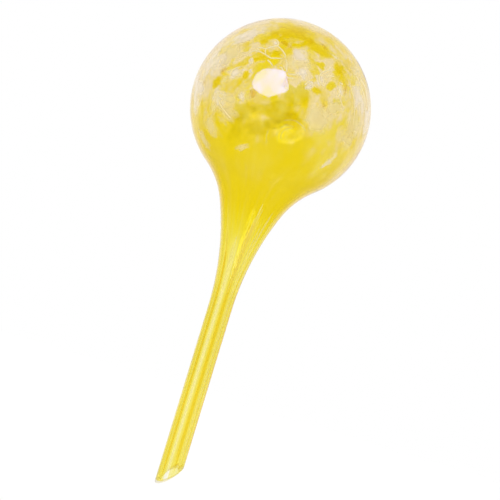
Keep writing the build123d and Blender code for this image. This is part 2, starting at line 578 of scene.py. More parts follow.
@dataclass(frozen=True)
class YellowGlass:
    """The coat: deep yellow on the neck, broken up on the ball, pale again down the stem.

    The tints are what one of the coat's two faces lets through. A band gives the value
    where something sets in and the value where it is full. The coat also carries painted
    light: a pale streak down the stem's left front is a painted highlight, and pale lines
    between its cells on the upper ball are a painted reflection.
    """

    zones: tuple[Zone, ...]
    webs: tuple[Zone, ...]
    deep_tint: Colour = (0.975, 0.912, 0.16)
    middle_tint: Colour = (0.972, 0.910, 0.54)
    pale_tint: Colour = (0.986, 0.940, 0.82)
    stem_tint: Colour = (0.992, 0.961, 0.66)
    # Painted highlight: the nearly clear tint of the pale streak down the stem, in place of the softbox's
    # reflection.
    highlight_streak_tint: Colour = (0.998, 0.988, 0.90)
    cloud_colour: Colour = (0.95, 0.78, 0.06)
    pale_cloud_colour: Colour = (0.97, 0.88, 0.55)
    # Painted reflection: colour of the pale lines between the coat's cells.
    glint_colour: Colour = (1.0, 0.97, 0.72)
    swirl_scale: float = 2.6
    swirl_detail: float = 3.0
    swirl: float = 0.25
    chip_scale: float = 7.5
    broad_scale: float = 1.7
    grain_scales: Point = (9.0, 9.0, 5.0)
    grain_detail: float = 2.5
    upper_band: Band = (-0.45, 0.25)
    chip_share: float = 0.30
    broad_share: float = 0.9
    grain_share: float = 0.5
    pale_band: Band = (0.55, 1.05)
    grain_band: Band = (0.46, 0.75)
    grain_loss: float = 0.24
    broad_band: Band = (0.48, 0.66)
    broad_loss: float = 0.20
    # Painted reflection: where the pale lines between the coat's cells show, and how much colour they take
    # away.
    glint_band: Band = (0.10, 0.01)
    glint_grain_band: Band = (0.36, 0.58)
    glint_loss: float = 0.9
    web_band: Band = (0.45, 0.62)
    web_share: float = 0.4
    middle_thin_band: Band = (0.0, 0.45)
    pale_thin_band: Band = (0.35, 0.95)
    stem_band: Band = (0.42, 0.13)
    stem_grain_band: Band = (0.70, 0.42)
    stem_grain_share: float = 0.25
    # Painted highlight: where the pale streak runs round the stem, in turns from the front, and how it fades
    # round it and up the neck.
    highlight_streak_turn: float = 0.962
    highlight_streak_side_band: Band = (0.972, 0.990)
    highlight_streak_stem_band: Band = (0.24, 0.15)
    least_cloud: float = 0.005
    thin_cloud: float = 0.05
    # Painted reflection: how cloudy the pale lines make the coat.
    glint_cloud: float = 0.08
    through: float = 0.2

    def thinning(self, recipe: Recipe, place: Socket, upper: Socket, broad: Socket, grain: Socket) -> Socket:
        """How much colour is lost: by chip on the upper ball, and in grain, broad parts and zones.

        Args:
            recipe: Nodes of the finish.
            place: Place in the melt, with its swirl.
            upper: 1 on the upper ball, fading to 0 below its middle.
            broad: Slow noise.
            grain: Fine noise.

        Returns:
            Share of the colour that is lost.
        """
        cell = recipe.cells(place, self.chip_scale).outputs["Color"]
        chip = recipe.add("SeparateColor", Color=cell).outputs[0]
        depth = recipe.weighed((chip, self.chip_share), (broad, self.broad_share), (grain, self.grain_share))
        loss = recipe.weighed((upper, recipe.ease(depth, *self.pale_band)),
                              (recipe.ease(grain, *self.grain_band), self.grain_loss),
                              (recipe.ease(broad, *self.broad_band), self.broad_loss))
        for zone in self.zones:
            loss = zone.add_to(recipe, place, loss)
        return loss

    def glint_web(self, recipe: Recipe, place: Socket, upper: Socket, broad: Socket, grain: Socket) -> Socket:
        """Pale lines between the cells of the coat, a painted reflection of the softbox in uneven glass: on
        the upper ball, in broad parts and in webs.

        Args:
            recipe: Nodes of the finish.
            place: Place in the melt, with its swirl.
            upper: 1 on the upper ball, fading to 0 below its middle.
            broad: Slow noise.
            grain: Fine noise.

        Returns:
            Strength of the painted lines, from 0 to 1.
        """
        edge = recipe.cells(place, self.chip_scale, "DISTANCE_TO_EDGE").outputs["Distance"]
        web = recipe.times(recipe.ease(broad, *self.web_band), self.web_share)
        for zone in self.webs:
            web = zone.add_to(recipe, place, web)
        web = recipe.times(upper, web)
        glint = recipe.times(recipe.ease(edge, *self.glint_band), web)
        return recipe.times(glint, recipe.ease(grain, *self.glint_grain_band))

    def tinting(self, recipe: Recipe, melt: Socket, thin: Socket, grain: Socket) -> Socket:
        """What a face lets through: by thickness, paler on the stem, palest in its streak, which is a
        painted highlight.

        Args:
            recipe: Nodes of the finish.
            melt: Place in the melt.
            thin: Share of the colour that is lost.
            grain: Fine noise.

        Returns:
            The tint.
        """
        spread = recipe.mark(SPREAD).outputs["Fac"]
        tint = recipe.tint(recipe.ease(thin, *self.middle_thin_band), self.deep_tint, self.middle_tint)
        tint = recipe.tint(recipe.ease(thin, *self.pale_thin_band), tint, self.pale_tint)
        patchy = recipe.times(recipe.ease(grain, *self.stem_grain_band), self.stem_grain_share)
        drawn = recipe.maths("SUBTRACT", recipe.ease(spread, *self.stem_band), patchy, clamp=True)
        tint = recipe.tint(drawn, tint, self.stem_tint)
        # Painted highlight: a pale streak down the stem's left front, where the softbox's reflection runs.
        side = 2 * np.pi * self.highlight_streak_turn + FRONT_TURN
        facing = recipe.measure("DOT_PRODUCT", melt, (np.cos(side), np.sin(side), 0.0))
        streak = recipe.ease(facing, *self.highlight_streak_side_band)
        streak = recipe.times(streak, recipe.ease(spread, *self.highlight_streak_stem_band))
        return recipe.tint(streak, tint, self.highlight_streak_tint)

    def dress(self, piece: bpy.types.Object) -> None:
        """Gives the piece this finish.

        Args:
            piece: The coat.
        """
        recipe = Recipe("yellow_glass")
        melt = recipe.mark(MELT).outputs["Vector"]
        swirl = recipe.noise(melt, self.swirl_scale, self.swirl_detail).outputs["Color"]
        swirl = recipe.vector("SUBTRACT", swirl, (0.5, 0.5, 0.5))
        bent = recipe.vector("ADD", melt, recipe.scaled(swirl, self.swirl))
        upper = recipe.ease(recipe.add("SeparateXYZ", Vector=melt).outputs["Z"], *self.upper_band)
        broad = recipe.noise(bent, self.broad_scale).outputs[0]
        stretched = recipe.vector("MULTIPLY", melt, self.grain_scales)
        grain = recipe.noise(stretched, 1.0, self.grain_detail).outputs[0]
        loss = self.thinning(recipe, bent, upper, broad, grain)
        # Painted reflection: pale lines between the cells make the coat thinner, paler and cloudier there.
        glint = self.glint_web(recipe, bent, upper, broad, grain)
        thin = recipe.maths("ADD", loss, recipe.times(glint, self.glint_loss), clamp=True)
        clear = recipe.add("BsdfTransparent", Color=self.tinting(recipe, melt, thin, grain)).outputs[0]
        colour = recipe.tint(thin, self.cloud_colour, self.pale_cloud_colour)
        colour = recipe.tint(glint, colour, self.glint_colour)
        cloud = recipe.weighed((thin, self.thin_cloud), (glint, self.glint_cloud))
        cloud = recipe.maths("ADD", cloud, self.least_cloud, clamp=True)
        recipe.finish(recipe.blend(cloud, clear, recipe.milk(colour, self.through)), piece.data)


@dataclass(frozen=True)
class MeltedFrit:
    """Cloudy or tinted glass that thins out to nothing at its rim.

    The body is the most that it scatters, and passing is the tint of what it lets by.
    """

    name: str
    colour: Colour
    second_colour: Colour
    body: float
    passing: Colour = ALL_LIGHT
    through: float = 0.5
    feather: float = 0.55
    broken: float = 0.9
    scale: float = 11.0
    detail: float = 1.5
    roughness: float = 0.45
    rim_band: Band = (0.02, 0.4)
    colour_band: Band = (0.35, 0.65)

    def dress(self, piece: bpy.types.Object) -> None:
        """Gives the piece this finish.

        Args:
            piece: One layer of frit.
        """
        recipe = Recipe(self.name)
        place = recipe.mark(MELT).outputs["Vector"]
        depth = recipe.mark(DEPTH).outputs["Fac"]
        cloud = recipe.noise(place, self.scale, self.detail, self.roughness).outputs[0]
        broken = recipe.times(recipe.maths("SUBTRACT", cloud, 0.5), self.broken * 2)
        full = recipe.ease(recipe.maths("ADD", depth, broken), 0.0, self.feather)
        full = recipe.times(full, recipe.ease(depth, *self.rim_band))
        colour = recipe.tint(recipe.ease(cloud, *self.colour_band), self.colour, self.second_colour)
        clear = recipe.add("BsdfTransparent", Color=recipe.tint(full, ALL_LIGHT, self.passing)).outputs[0]
        cover = recipe.times(full, self.body)
        recipe.finish(recipe.blend(cover, clear, recipe.milk(colour, self.through)), piece.data)


class Frit(Enum):
    """The colours of frit, with the finish of each."""

    WHITE = MeltedFrit("white_glass", (1.0, 0.95, 0.89), (0.98, 0.90, 0.78), 0.62, through=0.12,
                        feather=1.2, broken=1.1, scale=8.0)
    CREAM = MeltedFrit("cream_glass", (1.0, 0.94, 0.66), (0.98, 0.90, 0.56), 0.40, (0.99, 0.965, 0.88),
                        through=0.15, feather=1.1, broken=1.0, scale=7.0)
    GOLD = MeltedFrit("golden_glass", (0.95, 0.81, 0.05), (0.93, 0.78, 0.04), 0.04, (0.985, 0.963, 0.30))
    OLIVE = MeltedFrit("olive_glass", (0.92, 0.82, 0.08), (0.88, 0.78, 0.07), 0.04, (0.957, 0.957, 0.47),
                        broken=0.5, scale=6.0)
    # Painted reflection: colour of the pale lines that stand for the softbox and the bright surroundings
    # shining back from the uneven glass.
    VEIN = MeltedFrit("glint_vein", (1.0, 0.91, 0.58), (1.0, 0.89, 0.50), 0.94, through=0.1, broken=0.15)
    # Partly painted reflection: fine pale streaks on the neck, partly drawn streaks of the glass and partly
    # the softbox shining back from the concave neck.
    FINE_STREAK = MeltedFrit("fine_streak", (1.0, 0.94, 0.36), (1.0, 0.92, 0.28), 0.40, through=0.1,
                             scale=3.0, broken=0.15)
    BEIGE = MeltedFrit("beige_glass", (1.0, 0.95, 0.66), (0.99, 0.92, 0.58), 0.42, (0.99, 0.955, 0.80),
                       through=0.15, feather=0.6, broken=0.3, scale=4.0)
    # Partly painted highlight: pale streaks down the neck and stem, one of which stands for the softbox's
    # reflection down the stem.
    PALE_STREAK = MeltedFrit("pale_streak", (1.0, 0.98, 0.78), (1.0, 0.97, 0.70), 0.16, through=0.1,
                             scale=3.0, broken=0.15)
    GOLDEN_STREAK = MeltedFrit("golden_streak", (0.95, 0.76, 0.06), (0.93, 0.72, 0.05), 0.05,
                               (0.985, 0.932, 0.56), scale=3.0, broken=0.15)
    # Painted reflection: colour of the pale arcs round the second highlight.
    ARC_GLINT = MeltedFrit("arc_glint", (1.0, 0.95, 0.45), (1.0, 0.93, 0.35), 0.22, through=0.1, broken=0.5)


@dataclass(frozen=True)
class Chip:
    """A melted chip on the ball, in ball radii: place across and up as seen from the front."""

    across: float
    up: float
    wide: float
    high: float
    turn: float
    behind: bool = False

    @property
    def direction(self) -> Point:
        """Direction from the ball's centre."""
        away = float(np.sqrt(max(0.0, 1.0 - self.across**2 - self.up**2)))
        return self.across, away if self.behind else -away, self.up


@dataclass(frozen=True)
class Thread:
    """A drawn-out streak: its place in turns from the front, its top, its width and its foot."""

    turn: float
    top: float
    width: float
    foot: float = 0.0


@dataclass(frozen=True)
class Photograph:
    """How the photograph shows the front of the ball, in pixels."""

    form: GlobeForm
    side: float = 500.0
    view_width: float = 0.248
    distance: float = 1.03
    aim: Point = (0.0059, 0.0, 0.1237)
    lean: float = 16.93

    @property
    def radius(self) -> float:
        """Pixels that the ball's radius fills."""
        return self.form.globe_radius * self.side / self.view_width

    @property
    def sides(self) -> tuple[Array, Array]:
        """The picture's own directions to the right and up."""
        turn = np.radians(self.lean)
        return np.array([np.cos(turn), 0.0, np.sin(turn)]), np.array([-np.sin(turn), 0.0, np.cos(turn)])

    def front(self, across: float, down: float) -> Array:
        """Where the line of sight through a pixel first meets the ball.

        With o from the ball's centre to the camera and w the unit line of sight, it is
        o + w * (-o.w - sqrt((o.w)^2 - o.o + R^2)).

        Args:
            across: Pixels from the left.
            down: Pixels from the top.

        Returns:
            Direction from the ball's centre, of length 1.
        """
        right, up = self.sides
        metre = self.view_width / self.side
        seen = right * (across - self.side / 2) * metre + up * (self.side / 2 - down) * metre
        camera = np.array(self.aim) - np.array([0.0, self.distance, 0.0])
        sight = np.array(self.aim) + seen - camera
        sight /= np.linalg.norm(sight)
        offset = camera - self.form.centre
        nearest = -float(offset @ sight)
        miss = float(offset @ offset) - nearest**2
        depth = np.sqrt(max(0.0, self.form.globe_radius**2 - miss))
        place = offset + sight * (nearest - depth)
        return place / np.linalg.norm(place)

    def chips(self, *rows: tuple[float, ...]) -> tuple[Chip, ...]:
        """Chips on the front.

        Args:
            rows: Each one's pixel, real width and height in pixels, and turn in the picture.

        Returns:
            The chips.
        """
        chips = []
        for across, down, wide, high, turn in rows:
            x, _, z = self.front(across, down)
            chips.append(Chip(float(x), float(z), wide / self.radius, high / self.radius, turn + self.lean))
        return tuple(chips)

    def zones(self, *rows: tuple[float, ...]) -> tuple[Zone, ...]:
        """Zones of the coat on the front.

        Args:
            rows: Each one's pixel, reach in pixels and gain.

        Returns:
            The zones.
        """
        spots = np.array([self.front(*row[:2]) for row in rows]) * self.form.globe_radius
        melts = melt_place(self.form, spots + self.form.centre)
        return tuple(Zone(tuple(melt), reach / self.radius, gain)
                     for melt, (_, _, reach, gain) in zip(melts.tolist(), rows))


def arc(across: float, down: float, radius: float, start: float, end: float,
        points: int = 9) -> tuple[Pixel, ...]:
    """Pixels of an arc round a pixel, by its radius and its angles from the right, upwards."""
    angles = np.radians(np.linspace(start, end, points))
    return tuple((float(across + radius * np.cos(a)), float(down - radius * np.sin(a))) for a in angles)


PHOTO = Photograph(GlobeForm())

COAT_ZONES = PHOTO.zones(
    (298, 105, 13, -0.3), (303, 132, 13, -0.3), (234, 130, 12, 0.15), (240, 158, 14, 0.25),
    (322, 132, 10, 0.35), (322, 172, 10, 0.25), (224, 122, 12, 0.4), (203, 78, 30, 0.7), (226, 42, 26, 0.6),
    (197, 112, 18, 0.5), (224, 96, 16, 0.3), (210, 106, 12, 0.3), (346, 132, 30, 0.45), (364, 98, 20, 0.6),
    (352, 160, 24, 0.5), (334, 174, 20, 0.25), (356, 70, 20, 0.4), (318, 117, 17, 0.5), (303, 58, 15, 0.2),
    (258, 152, 22, 0.2), (300, 175, 26, 0.12), (322, 145, 22, 0.4), (325, 170, 16, 0.3), (240, 98, 12, 0.2),
    (270, 135, 34, 0.2), (250, 118, 20, 0.2), (272, 106, 20, 0.2), (312, 160, 40, 0.1),
    (267, 56, 17, -0.35), (322, 41, 12, 0.5), (336, 56, 12, 0.2), (278, 108, 26, -0.08),
    (236, 134, 22, -0.08), (298, 33, 24, -0.5), (340, 70, 12, -0.3), (216, 82, 6, -0.4),
    (270, 84, 17, -0.3), (210, 142, 16, 0.3), (226, 162, 20, 0.15), (338, 157, 12, 0.3), (250, 94, 10, 0.3),
    (279, 41, 8, 0.3),
)
# Painted reflection: zones where the pale lines between the coat's cells are strongest. These lines stand
# for the softbox shining back from uneven glass.
WEB_ZONES = PHOTO.zones(
    (263, 52, 26, 0.3), (330, 78, 20, 0.2), (228, 72, 22, 0.8), (222, 108, 22, 0.5), (290, 72, 12, 0.5),
    (345, 100, 16, 0.5),
)
WHITE_CHIPS = PHOTO.chips(
    (301, 56, 26, 24, 20), (304, 72, 18, 16, -40), (309, 87, 10, 8, 60), (218, 100, 22, 34, 15),
    (234, 73, 24, 20, 40), (251, 60, 8, 10, 0), (250, 70, 8, 8, 30), (277, 42, 7, 8, 0),
    (341, 91, 9, 18, 10), (319, 79, 11, 17, 0), (334, 55, 18, 10, -35), (360, 97, 34, 56, 0),
    (367, 122, 24, 44, 0), (330, 161, 26, 12, 55), (196, 90, 40, 60, -10), (213, 62, 60, 50, 45),
    (240, 37, 70, 34, 30), (311, 84, 11, 9, 60), (241, 96, 12, 13, 0),
)
CREAM_CHIPS = PHOTO.chips(
    (323, 122, 32, 42, 10), (336, 109, 26, 24, -10), (230, 52, 60, 40, 45), (346, 140, 34, 40, -20),
    (355, 124, 36, 46, 0), (210, 125, 30, 40, 20), (294, 62, 30, 24, 0), (356, 72, 24, 34, -40),
    (315, 28, 50, 26, -20), (222, 120, 18, 14, -40), (226, 112, 34, 26, -40), (242, 148, 22, 9, 10),
    (224, 100, 34, 38, 0), (243, 94, 24, 24, 0), (299, 83, 11, 9, 0), (213, 108, 18, 18, 0),
    (203, 140, 16, 36, 15), (224, 80, 16, 14, 20), (309, 66, 18, 14, 0), (240, 56, 16, 10, 30),
)
GOLDEN_CHIPS = PHOTO.chips(
    (294, 33, 60, 30, -5), (318, 47, 40, 30, -40), (340, 68, 20, 16, -30), (216, 82, 14, 16, 40),
    (201, 108, 9, 26, 0), (264, 41, 18, 8, 15), (260, 58, 20, 9, 15), (275, 52, 17, 10, 10),
    (245, 75, 8, 14, -10), (333, 85, 20, 12, 30), (318, 91, 15, 9, -20), (322, 65, 16, 10, -30),
)
BEIGE_CHIPS = PHOTO.chips(
    (317, 119, 34, 32, 30), (335, 108, 22, 18, -10),
)
OLIVE_CHIPS = PHOTO.chips(
    (297, 94, 38, 30, -20), (241, 112, 34, 26, 0), (276, 110, 56, 26, 0), (235, 127, 34, 30, 20),
    (290, 120, 34, 22, 0), (337, 106, 18, 20, -20), (255, 128, 38, 22, 0), (276, 124, 30, 16, 0),
)
# Painted reflection: pale lines laid as frit. They run in a web round the highlight, on the left of the ball
# and in bands along the right rim, where the softbox and the bright surroundings would shine back from the
# uneven glass.
GLINT_VEINS = (
    ((247.5, 55), (251.8, 51.1), (255.6, 49.9), (260.4, 51.4), (265.7, 54.2), (270.5, 57.6), (277.6, 57.8),
     (284, 57.8)),
    ((265.7, 54), (265.2, 51), (265.7, 48.3), (270, 46.8), (274.3, 45.9), (277.6, 45.6), (278.6, 42.5),
     (277.2, 39.7), (273.8, 38.2)),
    ((277.6, 45.6), (280.4, 47.8), (283.4, 51.1), (285.6, 55), (284.8, 57.8)),
    ((257, 47.5), (261, 47), (265.7, 48.3)),
    ((248.9, 58.8), (249.4, 61.7), (251.3, 63.1), (253.2, 60.7)),
    ((267.1, 59.3), (270, 61.7), (272.8, 65.5)),
    ((279.1, 66.4), (281.9, 67.4), (283.1, 71.2)),
    ((286.2, 58.8), (286.9, 63.6), (286.7, 67.4), (286.9, 72.2)),
    ((287.7, 73.6), (292, 74.1), (296.8, 74.6)),
    ((287.7, 77), (294.4, 78.4)),
    ((321.7, 72.2), (326.3, 71), (330.4, 69.3), (331.4, 65.9)),
    ((321.7, 72.2), (319.4, 77.3), (320.6, 82.5), (324, 85.4)),
    ((326.3, 76.8), (330.9, 75.6), (335, 76.2)),
    ((304.5, 84.8), (308, 82), (312, 83.7), (313.5, 88)),
    ((340.1, 82.5), (343.6, 84.2)),
    ((339.5, 87.1), (340.1, 92.8), (337.8, 97.4)),
    ((355.6, 73.3), (360.8, 83.7), (364.2, 94), (365.4, 106.6), (365, 120)),
    ((359.6, 76.8), (365.4, 86.5), (368.2, 100.9), (368.4, 114)),
    ((350, 84), (354, 96), (355, 112), (353, 126)),
    ((228.8, 75.5), (231.7, 69.8), (236, 67.4), (241.3, 66.4)),
    ((217, 97), (219.5, 104), (225, 112), (231, 119)),
)
# Painted reflection: pale arcs round the second highlight, in place of the softbox shining back from ripples
# in the far wall.
GLINT_ARCS = tuple(arc(*row) for row in (
    (290, 138, 9.5, 70, 190), (289, 138, 12.0, 60, 200), (290, 139, 14.5, 95, 175),
    (289, 137, 17.0, 30, 110), (288, 139, 19.5, 20, 75), (291, 137, 22.0, 10, 60),
    (286, 140, 20.0, 150, 190),
))
# The first thread, at 0.962 of a turn, is a painted highlight in place of the softbox's reflection down the
# stem. The others are pale streaks of the glass.
WHITE_THREADS = tuple(Thread(*row) for row in (
    (0.962, 0.112, 0.12), (0.13, 0.148, 0.07), (0.18, 0.150, 0.05), (0.36, 0.137, 0.12),
    (0.57, 0.127, 0.12), (0.78, 0.135, 0.10), (0.105, 0.140, 0.04),
))
# Partly painted reflection: fine pale threads on the neck's right front are partly drawn streaks of the
# glass and partly the softbox shining back from the concave neck. The one at 0.962 of a turn carries the
# painted highlight of the stem up the neck.
FINE_THREADS = tuple(Thread(*row) for row in (
    (0.053, 0.148, 0.030, 0.104), (0.064, 0.146, 0.022, 0.100), (0.043, 0.141, 0.018, 0.100),
    (0.076, 0.140, 0.016, 0.106), (0.033, 0.134, 0.016, 0.098), (0.962, 0.129, 0.045, 0.100),
))
GOLDEN_THREADS = tuple(Thread(*row) for row in (
    (0.055, 0.141, 0.10), (0.24, 0.131, 0.12), (0.46, 0.139, 0.13), (0.68, 0.133, 0.12),
    (0.89, 0.123, 0.12),
))


@dataclass(frozen=True)
class Scatter:
    """Even scatter of chips for the back of the ball, in ball radii.

    Neighbours lie a golden section of a turn apart, at evenly spaced heights.
    """

    count: int = 64
    step: int = 3
    golden_turn: float = 0.381966
    wide: float = 0.17
    high: float = 0.13
    stretch: float = 0.45
    nearest: float = 0.12
    lowest: float = -0.05

    def chips(self, first: int, size: float = 1.0) -> tuple[Chip, ...]:
        """Chips of the back: every so many of the scatter.

        Args:
            first: Number of the first.
            size: Factor on their usual size.

        Returns:
            Those that lie on the back and above the shoulder.
        """
        chips = []
        for number in range(first, self.count, self.step):
            up = 1 - 2 * (number + 0.5) / self.count
            turn = 2 * np.pi * self.golden_turn * number
            across, away = np.sqrt(1 - up**2) * np.cos(turn), np.sqrt(1 - up**2) * np.sin(turn)
            spread = 1 + self.stretch * np.sin(number * number)
            if away > self.nearest and up > self.lowest:
                wide, high = self.wide * spread * size, self.high / spread * size
                chips.append(Chip(float(across), up, wide, high, np.degrees(turn), True))
        return tuple(chips)


@dataclass(frozen=True)
class GlassWall:
    """The clear wall: casing and first gather, fused, with a polished slanted lip."""

    form: GlobeForm
    globe_wall: float = 0.002
    bore_radius: float = 0.0035
    lip_round: float = 0.0004
    around: int = 144
    step: float = 0.0013
    stem_rings: int = 26
    lip_rings: int = 14
    outer_swell: float = 0.00012
    outer_seed: int = 3
    inner_swell: float = 0.00010
    inner_seed: int = 8
    waves: int = 12
    wave_pace: float = 5.0
    swell_foot: float = -1.2
    swell_fade: float = 0.6

    def skin(self, surface: LayerSurface, turns: Array, depth: float, seed: int) -> tuple[Array, Array]:
        """A surface, moved inwards by a slow, hand-blown unevenness.

        The move is depth times the mean of some waves over the ball's directions, each
        between 0 and 1, and it fades out below the shoulder.

        Args:
            surface: The even surface.
            turns: Angles round the axis.
            depth: The largest move.
            seed: Chooses the waves.

        Returns:
            Its rings and its pole.
        """
        even = surface.rings(turns, self.step, self.stem_rings, self.lip_round)
        draw = np.random.default_rng(seed)
        ways = draw.normal(size=(self.waves, 3)) * self.wave_pace
        shift = draw.uniform(0.0, 2 * np.pi, self.waves)
        offset = even - self.form.centre
        direction = unit(offset)
        waves = 0.5 + 0.5 * np.sin(direction @ ways.T + shift)
        level = offset[..., 2] / self.form.globe_radius
        reach = np.clip((level - self.swell_foot) / self.swell_fade, 0.0, 1.0)
        move = depth * waves.mean(axis=-1) * reach
        rings = even - direction * move[..., None]
        pole = surface.pole()
        pole[2] = rings[0, :, 2].mean() + (pole[2] - even[0, 0, 2])
        return rings, pole

    def lip(self, turns: Array) -> Array:
        """Rings across the lip, from the outside to the bore.

        Across the wall the lip follows the cut, raised near each edge by a quarter round:
        lip_round times (1 - sqrt(1 - t * t)), where t goes from 0 to 1 over the last
        lip_round before the edge.

        Args:
            turns: Angles round the axis.

        Returns:
            Points by ring and turn.
        """
        share = 0.5 - 0.5 * np.cos(np.linspace(0.0, np.pi, self.lip_rings + 2)[1:-1])
        across = self.form.stem_radius + share * (self.bore_radius - self.form.stem_radius)
        near = np.minimum(self.form.stem_radius - across, across - self.bore_radius)
        t = np.clip(1.0 - near / self.lip_round, 0.0, 1.0)
        rise = self.lip_round * (1.0 - np.sqrt(1.0 - t**2))
        return turned(across[:, None], turns, self.form.cut_height(across[:, None], turns) + rise[:, None])

    def build(self) -> None:
        """Makes the wall and dresses it."""
        turns = circle(self.around)
        outside = LayerSurface(self.form)
        inside = LayerSurface(self.form, self.globe_wall, self.form.stem_radius - self.bore_radius)
        outer, outer_pole = self.skin(outside, turns, self.outer_swell, self.outer_seed)
        inner, inner_pole = self.skin(inside, turns, self.inner_swell, self.inner_seed)
        rings = np.concatenate([outer, self.lip(turns), inner[::-1]])
        cut = np.zeros(rings.shape[:2])
        cut[len(outer):len(outer) + self.lip_rings] = 1.0
        cut = np.append(cut, (0.0, 0.0))[None, :, None]
        piece = closed_skins("glass_wall", rings[None], np.stack([outer_pole, inner_pole])[None], {LIP: cut})
        ClearGlass().dress(piece)
        stand_in(piece, "clear_glass", "inner_gather", "outer_casing")


@dataclass(frozen=True)
class YellowCoat:
    """The thin coloured layer that lies in the wall from the pole to the lip."""

    form: GlobeForm
    ball_depth: float = 0.00108
    stem_depth: float = 0.00115
    thickness: float = 0.00004
    end_lift: float = 0.0004
    around: int = 144
    step: float = 0.0015
    stem_rings: int = 20

    def build(self) -> None:
        """Makes the coat and dresses it."""
        turns = circle(self.around)
        faces = [LayerSurface(self.form, self.ball_depth + half, self.stem_depth + half)
                 for half in (-self.thickness / 2, self.thickness / 2)]
        outer, inner = (face.rings(turns, self.step, self.stem_rings, self.end_lift) for face in faces)
        rings = np.concatenate([outer, inner[::-1]])[None]
        poles = np.stack([face.pole() for face in faces])[None]
        points = skin_points(rings, poles)
        spread = np.hypot(points[..., 0], points[..., 1]) / self.form.globe_radius
        spread = np.where(points[..., 2] > self.form.centre_height, 1.0, spread)[..., None]
        marks = {MELT: melt_place(self.form, points), SPREAD: spread}
        piece = closed_skins("coloured_coat", rings, poles, marks)
        YellowGlass(COAT_ZONES, WEB_ZONES).dress(piece)
        stand_in(piece, "yellow_glass", "yellow_coat")


@dataclass(frozen=True)
class FritLayer:
    """Melted bits of glass of one colour."""

    form: GlobeForm
    name: str
    node: str
    slot: str
    frit: Frit

    def make(self, rings: Array, poles: Array, fade: Array, pole_fade: float = 0.0) -> None:
        """Makes one piece of all the bits and dresses it.

        Args:
            rings: Points by bit, ring and place in the ring.
            poles: First and last pole of each bit.
            fade: How full the colour is at the points of the rings.
            pole_fade: How full it is at the poles.
        """
        fade = np.broadcast_to(fade, rings.shape[:3]).reshape(len(rings), -1)
        depth = np.concatenate([fade, np.full(poles.shape[:2], pole_fade)], axis=1)[..., None]
        marks = {MELT: melt_place(self.form, skin_points(rings, poles)), DEPTH: depth}
        piece = closed_skins(self.name, rings, poles, marks)
        self.frit.value.dress(piece)
        stand_in(piece, self.slot, self.node)


@dataclass(frozen=True)
class ChipLayer(FritLayer):
    """All the chips of one colour: lenses of glass that lie through the coat."""

    chips: tuple[Chip, ...]
    seed: int
    ball_depth: float = 0.00108
    thickness: float = 0.0003
    rings: int = 9
    around: int = 40
    first_wave: int = 2
    waves: int = 6
    wave_height: float = 0.30

    def build(self) -> None:
        """Makes the chips and dresses them.

        Seen along its direction a chip is an ellipse whose radius is multiplied by 1 plus
        six small waves. Its two faces bulge by half the thickness times sqrt(1 - s * s),
        where s goes from 0 at the middle to 1 at the rim.
        """
        draw = np.random.default_rng(self.seed)
        towards = np.array([chip.direction for chip in self.chips])
        sizes = np.array([(chip.wide, chip.high) for chip in self.chips]) / 2
        lean = np.radians([chip.turn for chip in self.chips])[:, None]
        level = unit(np.cross(np.array([0.0, 0.0, 1.0]), towards))
        first = level * np.cos(lean) + np.cross(towards, level) * np.sin(lean)
        second = np.cross(towards, first)
        turns = circle(self.around)
        order = self.first_wave + np.arange(self.waves)
        push = draw.normal(size=(len(towards), self.waves)) * self.wave_height / order
        phase = draw.uniform(0.0, 2 * np.pi, push.shape)
        wave = 1.0 + (push[:, None] * np.cos(turns[:, None] * order + phase[:, None])).sum(axis=-1)
        swing = np.linspace(0.0, np.pi, 2 * self.rings + 1)[1:-1]
        share, side = np.sin(swing), np.cos(swing)
        u = sizes[:, 0, None, None] * share[:, None] * (wave * np.cos(turns))[:, None]
        v = sizes[:, 1, None, None] * share[:, None] * (wave * np.sin(turns))[:, None]
        ray = u[..., None] * first[:, None, None] + v[..., None] * second[:, None, None]
        ray = unit(towards[:, None, None] + ray)
        middle, half = self.form.globe_radius - self.ball_depth, self.thickness / 2
        rings = self.form.centre + ray * (middle + side[:, None, None] * half)
        poles = np.stack([self.form.centre + towards * (middle + rise) for rise in (half, -half)], axis=1)
        self.make(rings, poles, (1.0 - share)[:, None], 1.0)


@dataclass(frozen=True)
class ThreadLayer(FritLayer):
    """All the drawn-out streaks of one colour, along the neck and the stem."""

    threads: tuple[Thread, ...]
    ball_depth: float = 0.00108
    stem_depth: float = 0.00115
    thickness: float = 0.0003
    rings: int = 90
    around: int = 12
    taper_power: int = 6
    end_fade: float = 12.0

    def build(self) -> None:
        """Makes the streaks and dresses them.

        Down a streak the middle follows the coat. Across it is a flat ellipse, as wide as
        the streak's share of the wall's own radius there, tapered to both ends.
        """
        coat = LayerSurface(self.form, self.ball_depth, self.stem_depth)
        across, height = coat.profile(self.form.globe_radius / OUTLINE_STEPS)
        across, height = np.append(across, coat.tube), np.append(height, -self.form.stem_radius)
        threads = [(thread.turn, thread.top, thread.width, thread.foot) for thread in self.threads]
        turn, top, width, foot = np.array(threads).T[..., None]
        start = 2 * np.pi * turn + FRONT_TURN
        low = np.maximum(self.form.cut_height(coat.tube, start) + 2 * self.thickness, foot)
        share = np.linspace(0.0, 1.0, self.rings + 2)
        z = top + share * (low - top)
        radius = np.interp(z, height[::-1], across[::-1])
        taper = tapered(share, self.taper_power)
        ring = circle(self.around)
        angle = start[..., None] - (width * taper)[..., None] * np.cos(ring)
        reach = radius[..., None] + self.thickness / 2 * taper[..., None] * np.sin(ring)
        points = turned(reach, angle, z[..., None])
        ends = np.clip(np.minimum(share, 1.0 - share) * self.end_fade, 0.0, 1.0)[1:-1, None]
        self.make(points[:, 1:-1], points[:, [0, -1], 0], np.abs(np.sin(ring)) * ends)


